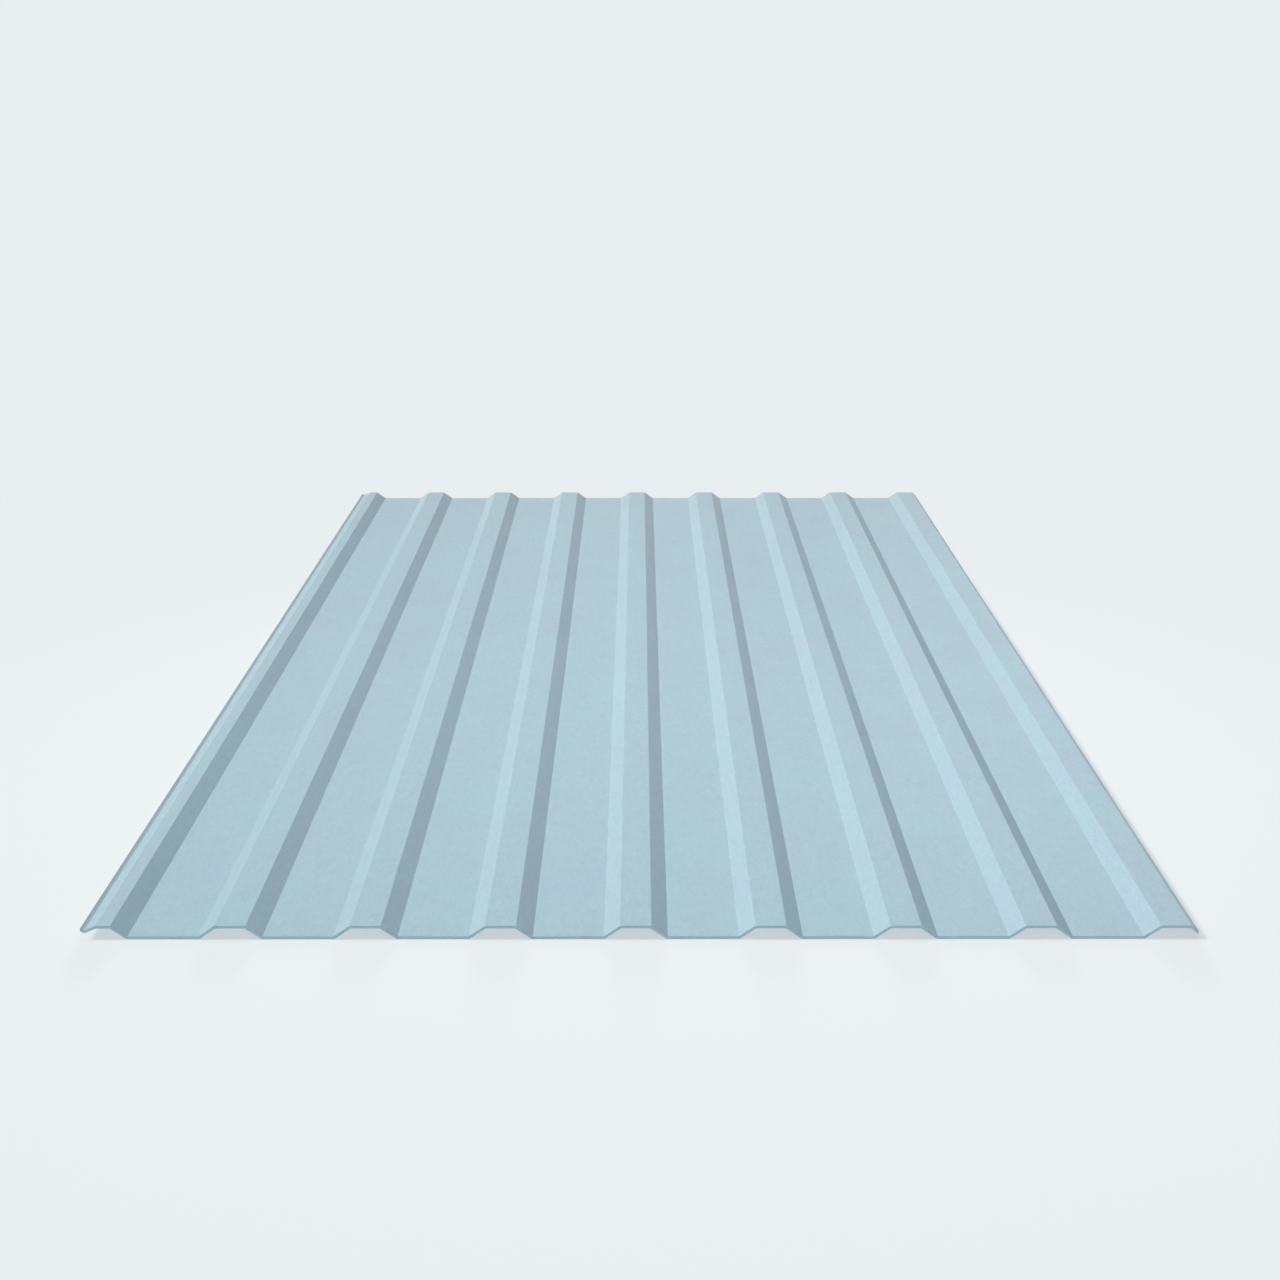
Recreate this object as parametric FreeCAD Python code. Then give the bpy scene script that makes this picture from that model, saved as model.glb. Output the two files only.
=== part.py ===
"""Corrugated polycarbonate sheet: one piece of trapezoidal-rib roofing sheet.

The sheet lies flat as it is stored. Its ribs run along Y, its width is along X and +Z is up.
The origin is the centre of the box around the sheet, at the floor that its valleys rest on.
One section, a folded wall of even thickness, is drawn across the ribs and run along their length.
"""

import FreeCAD, Part
import math
import os

from FreeCAD import Vector

# Whole sheet, mm
length = 2000.0
thickness = 3.0

# Ribs, measured on the upper face
rib_count = 9
pitch = 139.0  # from one crest's centre to the next
rib_height = 12.0  # from a valley up to a crest
crest_width = 32.0  # level top of a rib
flank_run = 17.0  # width that a sloping flank takes up

# Left edge: a narrow crest, then a shallow drip groove with its outer lip turned up
lap_crest_width = 15.0
groove_run = 12.0
groove_depth = 5.0  # below the crests
groove_lip_run = 4.0
groove_lip_rise = 2.2

# Right edge: the last crest ends in a lip turned down
drip_lip_run = 7.0
drip_lip_drop = 6.2

# Folds and trimmed side edges
inner_fold_radius = 0.8
outer_fold_radius = 1.6
trim_radius = 0.4

valley_top = thickness
crest_top = valley_top + rib_height


def upper_folds():
    """The folds of the upper face from the left edge to the right, with x = 0 at the middle of the ribs."""
    centres = [pitch * (i - (rib_count - 1) / 2) for i in range(rib_count)]
    half_crest = crest_width / 2
    lap_crest_left = centres[0] + half_crest - lap_crest_width
    groove_x = lap_crest_left - groove_run
    groove_z = crest_top - groove_depth
    last_crest_right = centres[-1] + half_crest

    folds = [
        (groove_x - groove_lip_run, groove_z + groove_lip_rise),
        (groove_x, groove_z),
        (lap_crest_left, crest_top),
    ]
    for here, beyond in zip(centres, centres[1:]):
        crest_right = here + half_crest
        next_crest_left = beyond - half_crest
        folds += [
            (crest_right, crest_top),
            (crest_right + flank_run, valley_top),
            (next_crest_left - flank_run, valley_top),
            (next_crest_left, crest_top),
        ]
    folds += [
        (last_crest_right, crest_top),
        (last_crest_right + drip_lip_run, crest_top - drip_lip_drop),
    ]
    return [Vector(x, 0, z) for x, z in folds]


def below(folds):
    """The lower face's folds: the wall is equally thick in every run, and its two ends are cut upright."""
    runs = [(b - a).normalize() for a, b in zip(folds, folds[1:])]
    down = [Vector(run.z, 0, -run.x) for run in runs]
    first = folds[0] - Vector(0, 0, thickness / runs[0].x)
    last = folds[-1] - Vector(0, 0, thickness / runs[-1].x)
    mitred = [
        fold + (a + b) * (thickness / (1 + a.dot(b)))
        for fold, a, b in zip(folds[1:-1], down, down[1:])
    ]
    return [first] + mitred + [last]


def rounded_outline(upper, lower):
    """The closed wire around the section, with an arc in place of every corner."""
    corners = upper + lower[::-1]
    trimmed = (upper[0], upper[-1], lower[0], lower[-1])
    edges = []
    arcs = []
    for i, corner in enumerate(corners):
        back = (corners[i - 1] - corner).normalize()
        on = (corners[(i + 1) % len(corners)] - corner).normalize()
        bends_out = on.cross(back).y > 0
        if corner in trimmed:
            radius = trim_radius
        else:
            radius = outer_fold_radius if bends_out else inner_fold_radius
        half_angle = back.getAngle(on) / 2
        inwards = (back + on).normalize()
        start = corner + back * (radius / math.tan(half_angle))
        middle = corner + inwards * (radius / math.sin(half_angle) - radius)
        end = corner + on * (radius / math.tan(half_angle))
        arcs.append((start, middle, end))
    for arc, following in zip(arcs, arcs[1:] + arcs[:1]):
        edges.append(Part.Arc(*arc).toShape())
        edges.append(Part.LineSegment(arc[2], following[0]).toShape())
    return Part.Wire(edges)


def corrugated_sheet():
    upper = upper_folds()
    middle = Vector((upper[0].x + upper[-1].x) / 2, 0, 0)
    front = Vector(0, -length / 2, 0)
    upper = [fold - middle + front for fold in upper]
    section = Part.Face(rounded_outline(upper, below(upper)))
    return section.extrude(Vector(0, length, 0))


os.makedirs("parts", exist_ok=True)
sheet = corrugated_sheet()
sheet.exportStep("parts/corrugated_sheet.step")
print("width", round(sheet.BoundBox.XLength, 3), "length", round(sheet.BoundBox.YLength, 3))
print("height", round(sheet.BoundBox.ZLength, 3), "volume", round(sheet.Volume), "valid", sheet.isValid())
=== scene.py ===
import math

import bmesh
import bpy
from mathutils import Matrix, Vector


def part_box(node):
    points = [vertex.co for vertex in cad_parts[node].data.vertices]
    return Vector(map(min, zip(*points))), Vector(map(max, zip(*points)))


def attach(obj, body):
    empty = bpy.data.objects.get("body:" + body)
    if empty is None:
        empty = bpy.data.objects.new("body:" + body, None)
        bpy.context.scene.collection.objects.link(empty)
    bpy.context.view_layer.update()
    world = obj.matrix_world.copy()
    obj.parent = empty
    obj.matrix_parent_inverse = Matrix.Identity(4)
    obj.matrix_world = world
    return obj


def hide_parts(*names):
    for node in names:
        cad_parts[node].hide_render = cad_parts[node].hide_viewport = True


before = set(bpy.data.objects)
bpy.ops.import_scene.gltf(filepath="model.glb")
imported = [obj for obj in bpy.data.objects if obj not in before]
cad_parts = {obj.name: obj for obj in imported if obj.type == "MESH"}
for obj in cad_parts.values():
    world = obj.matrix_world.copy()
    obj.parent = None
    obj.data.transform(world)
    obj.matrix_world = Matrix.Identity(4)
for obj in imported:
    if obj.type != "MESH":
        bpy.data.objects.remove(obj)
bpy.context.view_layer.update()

# ---------------------------------------------------------------- sizes, in metres
MM = 0.001

sheet_low, sheet_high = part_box("corrugated_sheet")
length = sheet_high.y - sheet_low.y
wall = 3.0 * MM
crest_z = sheet_high.z
valley_z = sheet_low.z + wall

# ribs, measured on the upper face
rib_count = 9
pitch = 139.0 * MM
crest_width = 32.0 * MM
flank_run = 17.0 * MM

# left edge: a narrow crest, then a shallow drip groove with its outer lip turned up
lap_crest_width = 15.0 * MM
groove_run = 12.0 * MM
groove_depth = 5.0 * MM
groove_lip_run = 4.0 * MM
groove_lip_rise = 2.2 * MM

# right edge: the last crest ends in a lip turned down
drip_lip_run = 7.0 * MM
drip_lip_drop = 6.2 * MM

# folds and cut edges
outer_fold_radius = 1.6 * MM
inner_fold_radius = 0.8 * MM
fold_segments = 4
arris = 0.25 * MM  # the cut edges are only just eased
arris_segments = 2
overrun = 4.0 * MM  # of the blank past each side, before it is trimmed

# how closely edges and points are told apart
same_turn = math.radians(1)
sharp_turn = math.radians(40)  # a cut edge turns by more, a fold's facets by less
same_place = 0.01 * MM
weld_gap = 0.001 * MM
facing_along = 0.99  # the least share of a normal that makes a face an end or a side


# ---------------------------------------------------------------- small helpers
def srgb(code):
    """An sRGB hex code as the linear colour that shaders take."""
    channels = [int(code[i : i + 2], 16) / 255 for i in (1, 3, 5)]
    linear = [c / 12.92 if c <= 0.04045 else ((c + 0.055) / 1.055) ** 2.4 for c in channels]
    return (*linear, 1.0)


def add_node(tree, kind, settings=None, links=None):
    """Adds a node. Settings are its properties and unlinked inputs, and links are what feeds its inputs."""
    node = tree.nodes.new(kind)
    for name, value in (settings or {}).items():
        if isinstance(name, str) and hasattr(node, name):
            setattr(node, name, value)
        else:
            node.inputs[name].default_value = value
    for name, source in (links or {}).items():
        tree.links.new(source, node.inputs[name])
    return node


def new_material(name):
    material = bpy.data.materials.new(name)
    material.use_nodes = True
    material.node_tree.nodes.clear()
    return material, material.node_tree


def per_metre(size_in_mm):
    """The scale of a noise pattern whose patches are this size."""
    return 1 / (size_in_mm * MM)


# ---------------------------------------------------------------- materials
backdrop = srgb("#E9EEF1")
near_half = (0, -0.6, 0)  # the middle of the floor that keeps the shadow


def polycarbonate_material():
    """Extruded polycarbonate, tinted pale blue and made hazy all through.

    The hot sheet is drawn between rollers with a fine matt grain and folded while it is soft. It passes
    some light, glares softly where it mirrors a lamp at a low angle, and shows a fine mottle drawn out
    along the run, broad soft clouds where the tint and the haze vary, and faint lines from the die.
    """
    material, tree = new_material("extruded_hazy_polycarbonate")
    place = add_node(tree, "ShaderNodeTexCoord").outputs["Object"]
    drawn = add_node(tree, "ShaderNodeMapping", {"Scale": (1.0, 0.4, 1.0)}, {"Vector": place})
    along = add_node(tree, "ShaderNodeMapping", {"Scale": (1.0, 0.004, 1.0)}, {"Vector": place})

    clouds = add_node(
        tree,
        "ShaderNodeTexNoise",
        {"Scale": per_metre(150), "Detail": 3.0, "Roughness": 0.5},
        {"Vector": place},
    )
    mottle = add_node(
        tree,
        "ShaderNodeTexNoise",
        {"Scale": per_metre(6), "Detail": 3.0, "Roughness": 0.6},
        {"Vector": drawn.outputs[0]},
    )
    # the rollers' grain is about 0.3 mm in truth, and is drawn at 1.6 mm so that it shows
    grain = add_node(
        tree,
        "ShaderNodeTexNoise",
        {"Scale": per_metre(1.6), "Detail": 1.0, "Roughness": 0.5},
        {"Vector": drawn.outputs[0]},
    )
    die_lines = add_node(
        tree,
        "ShaderNodeTexNoise",
        {"Scale": per_metre(7), "Detail": 2.0, "Roughness": 0.6},
        {"Vector": along.outputs[0]},
    )

    cloudy = add_node(
        tree,
        "ShaderNodeMapRange",
        {"From Min": 0.35, "From Max": 0.65},
        {"Value": clouds.outputs["Fac"]},
    )
    tinted = add_node(
        tree,
        "ShaderNodeMix",
        {"data_type": "RGBA", 6: srgb("#AED0DD"), 7: srgb("#B1CDDD")},
        {0: cloudy.outputs[0]},
    )
    mottled = add_node(
        tree,
        "ShaderNodeMapRange",
        {"From Min": 0.3, "From Max": 0.7, "To Min": 0.95, "To Max": 1.05},
        {"Value": mottle.outputs["Fac"]},
    )
    speckled = add_node(
        tree,
        "ShaderNodeMapRange",
        {"From Min": 0.3, "From Max": 0.7, "To Min": 0.95, "To Max": 1.05},
        {"Value": grain.outputs["Fac"]},
    )
    strength = add_node(
        tree,
        "ShaderNodeMath",
        {"operation": "MULTIPLY"},
        {0: mottled.outputs[0], 1: speckled.outputs[0]},
    )
    colour = add_node(
        tree,
        "ShaderNodeVectorMath",
        {"operation": "SCALE"},
        {0: tinted.outputs[2], "Scale": strength.outputs[0]},
    )
    roughness = add_node(
        tree,
        "ShaderNodeMapRange",
        {"To Min": 0.32, "To Max": 0.36},
        {"Value": cloudy.outputs[0]},
    )
    lined = add_node(
        tree,
        "ShaderNodeBump",
        {"Strength": 1.0, "Distance": 0.02 * MM},
        {"Height": die_lines.outputs["Fac"]},
    )
    bumped = add_node(
        tree,
        "ShaderNodeBump",
        {"Strength": 1.0, "Distance": 0.015 * MM},
        {"Height": grain.outputs["Fac"], "Normal": lined.outputs[0]},
    )
    # the rollers' grain dulls the gloss, so the specular level is below the usual half
    shader = add_node(
        tree,
        "ShaderNodeBsdfPrincipled",
        {"IOR": 1.585, "Specular IOR Level": 0.3, "Transmission Weight": 0.4},
        {
            "Base Color": colour.outputs[0],
            "Roughness": roughness.outputs[0],
            "Normal": bumped.outputs[0],
        },
    )
    add_node(tree, "ShaderNodeOutputMaterial", links={"Surface": shader.outputs["BSDF"]})
    return material


def cut_edge_material():
    """The same polycarbonate where it is sawn: matt, with fine saw marks across the wall.

    The edge is coloured paler than the faces. Part of this is the frosting of the sawn surface, and part is
    painted light, standing in for the light these upright cut faces get little of.
    """
    material, tree = new_material("sawn_polycarbonate_edge")
    place = add_node(tree, "ShaderNodeTexCoord").outputs["Object"]
    # the marks run up and down across the wall, a tooth's feed apart, drawn at 1.2 mm so that they show
    across = add_node(tree, "ShaderNodeMapping", {"Scale": (1.0, 1.0, 0.08)}, {"Vector": place})
    marks = add_node(
        tree,
        "ShaderNodeTexNoise",
        {"Scale": per_metre(1.2), "Detail": 2.0, "Roughness": 0.6},
        {"Vector": across.outputs[0]},
    )
    # both colours are paler than the faces': partly the sawn frosting, partly painted light for the dim
    # upright cuts
    colour = add_node(
        tree,
        "ShaderNodeMix",
        {"data_type": "RGBA", 6: srgb("#B2D6E4"), 7: srgb("#CBE6F1")},
        {0: marks.outputs["Fac"]},
    )
    roughness = add_node(
        tree,
        "ShaderNodeMapRange",
        {"From Min": 0.3, "From Max": 0.7, "To Min": 0.4, "To Max": 0.6},
        {"Value": marks.outputs["Fac"]},
    )
    bumped = add_node(
        tree,
        "ShaderNodeBump",
        {"Strength": 1.0, "Distance": 0.05 * MM},
        {"Height": marks.outputs["Fac"]},
    )
    shader = add_node(
        tree,
        "ShaderNodeBsdfPrincipled",
        {"IOR": 1.585, "Transmission Weight": 0.15},
        {
            "Base Color": colour.outputs[2],
            "Roughness": roughness.outputs[0],
            "Normal": bumped.outputs[0],
        },
    )
    add_node(tree, "ShaderNodeOutputMaterial", links={"Surface": shader.outputs["BSDF"]})
    return material


def backdrop_rays(tree):
    """1 for rays from the camera, in a reflection or through the sheet, 0 for light that falls on things."""
    path = add_node(tree, "ShaderNodeLightPath")
    direct = add_node(
        tree,
        "ShaderNodeMath",
        {"operation": "ADD"},
        {0: path.outputs["Is Camera Ray"], 1: path.outputs["Is Transmission Ray"]},
    )
    seen = add_node(
        tree,
        "ShaderNodeMath",
        {"operation": "ADD", "use_clamp": True},
        {0: direct.outputs[0], 1: path.outputs["Is Glossy Ray"]},
    )
    return seen


def floor_material():
    """Matt painted studio floor, which runs into the backdrop with no line and keeps the soft shadow."""
    material, tree = new_material("matt_studio_floor_paint")
    place = add_node(tree, "ShaderNodeTexCoord").outputs["Object"]
    seen = backdrop_rays(tree)
    # round the sheet's near half the paint shows the shadow, and further off only the backdrop's colour
    away = add_node(
        tree,
        "ShaderNodeVectorMath",
        {"operation": "DISTANCE", 1: near_half},
        {0: place},
    )
    shadow_share = add_node(
        tree,
        "ShaderNodeMapRange",
        {
            "interpolation_type": "SMOOTHSTEP",
            "From Min": 0.8,
            "From Max": 1.3,
            "To Min": 0.35,
            "To Max": 0.0,
        },
        {"Value": away.outputs["Value"]},
    )
    paint = add_node(tree, "ShaderNodeBsdfDiffuse", {"Color": srgb("#DFE8EE")})
    pale = add_node(tree, "ShaderNodeEmission", {"Color": backdrop, "Strength": 1.0})
    shown = add_node(
        tree,
        "ShaderNodeMixShader",
        links={0: shadow_share.outputs[0], 1: pale.outputs[0], 2: paint.outputs[0]},
    )
    both = add_node(
        tree,
        "ShaderNodeMixShader",
        links={0: seen.outputs[0], 1: paint.outputs[0], 2: shown.outputs[0]},
    )
    add_node(tree, "ShaderNodeOutputMaterial", links={"Surface": both.outputs[0]})
    return material


# ---------------------------------------------------------------- the sheet
def section_folds():
    """(x, z) of the upper face's folds, left to right, with a side edge at each end."""
    lap_crest_left = sheet_low.x + groove_lip_run + groove_run
    groove_z = crest_z - groove_depth
    first_centre = lap_crest_left + lap_crest_width - crest_width / 2
    centres = [first_centre + pitch * i for i in range(rib_count)]
    last_crest_right = centres[-1] + crest_width / 2
    folds = [
        (sheet_low.x, groove_z + groove_lip_rise),
        (sheet_low.x + groove_lip_run, groove_z),
        (lap_crest_left, crest_z),
    ]
    for here, beyond in zip(centres, centres[1:]):
        crest_right = here + crest_width / 2
        next_crest_left = beyond - crest_width / 2
        folds += [
            (crest_right, crest_z),
            (crest_right + flank_run, valley_z),
            (next_crest_left - flank_run, valley_z),
            (next_crest_left, crest_z),
        ]
    folds += [
        (last_crest_right, crest_z),
        (last_crest_right + drip_lip_run, crest_z - drip_lip_drop),
    ]
    return [Vector((x, 0, z)) for x, z in folds]


def choose(kind, wanted):
    """In edit mode, selects only the vertices, edges or faces that wanted() says yes to."""
    bpy.ops.mesh.select_mode(type=kind)
    bpy.ops.mesh.select_all(action="DESELECT")
    shape = bmesh.from_edit_mesh(bpy.context.edit_object.data)
    shape.normal_update()
    found = {"VERT": shape.verts, "EDGE": shape.edges, "FACE": shape.faces}[kind]
    for element in found:
        if wanted(element):
            element.select_set(True)
    shape.select_flush_mode()
    bmesh.update_edit_mesh(bpy.context.edit_object.data)


def cut(place, normal, **settings):
    """Cuts the whole piece along a plane."""
    bpy.ops.mesh.select_mode(type="FACE")
    bpy.ops.mesh.select_all(action="SELECT")
    bpy.ops.mesh.bisect(plane_co=place, plane_no=normal, threshold=weld_gap, **settings)


def is_end(face):
    return abs(face.normal.y) > facing_along


def is_side(face):
    return abs(face.normal.x) > facing_along


def fold_turns(folds):
    """The different angles by which the sheet turns at its folds."""
    runs = [b - a for a, b in zip(folds, folds[1:])]
    turns = []
    for a, b in zip(runs, runs[1:]):
        turn = a.angle(b)
        if all(abs(turn - known) > same_turn for known in turns):
            turns.append(turn)
    return turns


def folded_blank(folds):
    """The upper face: a flat blank, creased along every fold and raised there to its height."""
    bpy.ops.object.select_all(action="DESELECT")
    bpy.ops.mesh.primitive_plane_add(size=length, location=(0, 0, valley_z))
    blank = bpy.context.object
    blank.name = "polycarbonate_sheet"
    bpy.ops.object.transform_apply(location=True, rotation=True, scale=True)
    bpy.ops.object.mode_set(mode="EDIT")
    # the lips run on a little past the side edges, to be trimmed once the wall has its thickness
    ends = [
        end + run * (overrun / abs(run.x))
        for end, run in ((folds[0], folds[0] - folds[1]), (folds[-1], folds[-1] - folds[-2]))
    ]
    for end in ends:
        cut(end, (math.copysign(1, end.x), 0, 0), clear_outer=True)
    for fold in folds[1:-1]:
        cut(fold, (1, 0, 0))
    for line in [*ends, *folds[1:-1]]:
        choose("VERT", lambda vertex: abs(vertex.co.x - line.x) < same_place)
        bpy.ops.transform.translate(value=(0, 0, line.z - valley_z))
    bpy.ops.object.mode_set(mode="OBJECT")
    return blank


def corrugated_sheet():
    folds = section_folds()
    sheet = folded_blank(folds)

    solid = sheet.modifiers.new("wall", "SOLIDIFY")
    solid.thickness = wall
    solid.offset = -1
    solid.use_even_offset = True
    bpy.ops.object.modifier_apply(modifier=solid.name)

    bpy.ops.object.mode_set(mode="EDIT")
    # both side edges are trimmed upright, and each sawn end is made one face
    cut(folds[0], (-1, 0, 0), clear_outer=True, use_fill=True)
    cut(folds[-1], (1, 0, 0), clear_outer=True, use_fill=True)
    choose("FACE", is_end)
    bpy.ops.mesh.dissolve_faces()

    # every fold gets its radius, the outside of a bend twice the inside's
    for radius, sign in ((outer_fold_radius, 1), (inner_fold_radius, -1)):
        for turn in fold_turns(folds):
            choose(
                "EDGE",
                lambda edge: len(edge.link_faces) == 2
                and not any(is_end(face) or is_side(face) for face in edge.link_faces)
                and abs(edge.calc_face_angle_signed() - sign * turn) < same_turn,
            )
            bpy.ops.mesh.bevel(
                offset=radius * math.tan(turn / 2), segments=fold_segments, clamp_overlap=False
            )
    choose("EDGE", lambda edge: edge.calc_face_angle(0) > sharp_turn)
    bpy.ops.mesh.bevel(offset=arris, segments=arris_segments, clamp_overlap=False)

    sheet.data.materials.append(polycarbonate_material())
    sheet.data.materials.append(cut_edge_material())
    choose("FACE", lambda face: is_end(face) or is_side(face))
    sheet.active_material_index = 1
    bpy.ops.object.material_slot_assign()
    bpy.ops.object.mode_set(mode="OBJECT")

    bpy.ops.object.shade_smooth_by_angle(angle=sharp_turn)
    even = sheet.modifiers.new("flat faces stay flat", "WEIGHTED_NORMAL")
    even.weight = 100
    even.keep_sharp = True
    bpy.ops.object.modifier_apply(modifier=even.name)
    return sheet


sheet = corrugated_sheet()
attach(sheet, "root")
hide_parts("corrugated_sheet")

# ---------------------------------------------------------------- floor, light and camera
gap = 0.5 * MM  # keeps the floor's face from flickering through the sheet's underside
floor_size = 200
bpy.ops.object.select_all(action="DESELECT")
bpy.ops.mesh.primitive_plane_add(size=floor_size, location=(0, 0, sheet_low.z - gap))
floor = bpy.context.object
floor.name = "studio_floor"
floor.data.materials.append(floor_material())

scene = bpy.context.scene
scene.view_settings.view_transform = "Standard"

world = bpy.data.worlds.new("studio")
scene.world = world
world.use_nodes = True
tree = world.node_tree
tree.nodes.clear()
seen = backdrop_rays(tree)
shown = add_node(tree, "ShaderNodeBackground", {"Color": backdrop, "Strength": 1.0})
fill = add_node(tree, "ShaderNodeBackground", {"Color": srgb("#E6F1F8"), "Strength": 0.1})
pick = add_node(
    tree,
    "ShaderNodeMixShader",
    links={0: seen.outputs[0], 1: fill.outputs[0], 2: shown.outputs[0]},
)
add_node(tree, "ShaderNodeOutputWorld", links={"Surface": pick.outputs[0]})


def lamp(name, kind, place, aim, energy, **settings):
    light = bpy.data.lights.new(name, kind)
    light.energy = energy
    for key, value in settings.items():
        setattr(light, key, value)
    holder = bpy.data.objects.new(name, light)
    scene.collection.objects.link(holder)
    holder.location = place
    holder.rotation_euler = (Vector(aim) - Vector(place)).to_track_quat("-Z", "Y").to_euler()
    holder.visible_camera = False
    return holder


warm = srgb("#FFF6EC")[:3]
cool = srgb("#E6F1F8")[:3]
centre = (0, -0.4, 0)
lamp("key_from_left", "SUN", (-0.743, 0, 0.67), (0, 0, 0), 3.5, angle=math.radians(14), color=warm)
lamp("overhead", "AREA", (0, -0.4, 1.4), centre, 7.2, shape="DISK", size=1.4)
lamp("behind_right", "AREA", (2.4, 6.2, 2.5), centre, 4.5, shape="RECTANGLE", size=2.4, size_y=0.9)
lamp("front_fill", "SUN", (0.1, -0.9, 0.42), (0, 0, 0), 0.3, angle=math.radians(40), color=cool)
# a low light along the ribs, which draws the shadow out in front of the near edge
low = lamp("low_behind", "SUN", (0, 0.99, 0.14), (0, 0, 0), 2.8, angle=math.radians(10))
low.visible_glossy = False
low.visible_transmission = False

# the eye stands in front of the near edge, in line with the middle rib
eye = Vector((-1.2 * MM, sheet_low.y - 1.687, 0.8536))
pitch_down = math.radians(17.47)
yaw = math.radians(-0.054)
camera_data = bpy.data.cameras.new("camera")
camera_data.sensor_width = 36
camera_data.lens = 50.97
camera_data.clip_end = 500
camera = bpy.data.objects.new("camera", camera_data)
scene.collection.objects.link(camera)
camera.location = eye
camera.rotation_euler = (math.pi / 2 - pitch_down, 0, yaw)
scene.camera = camera
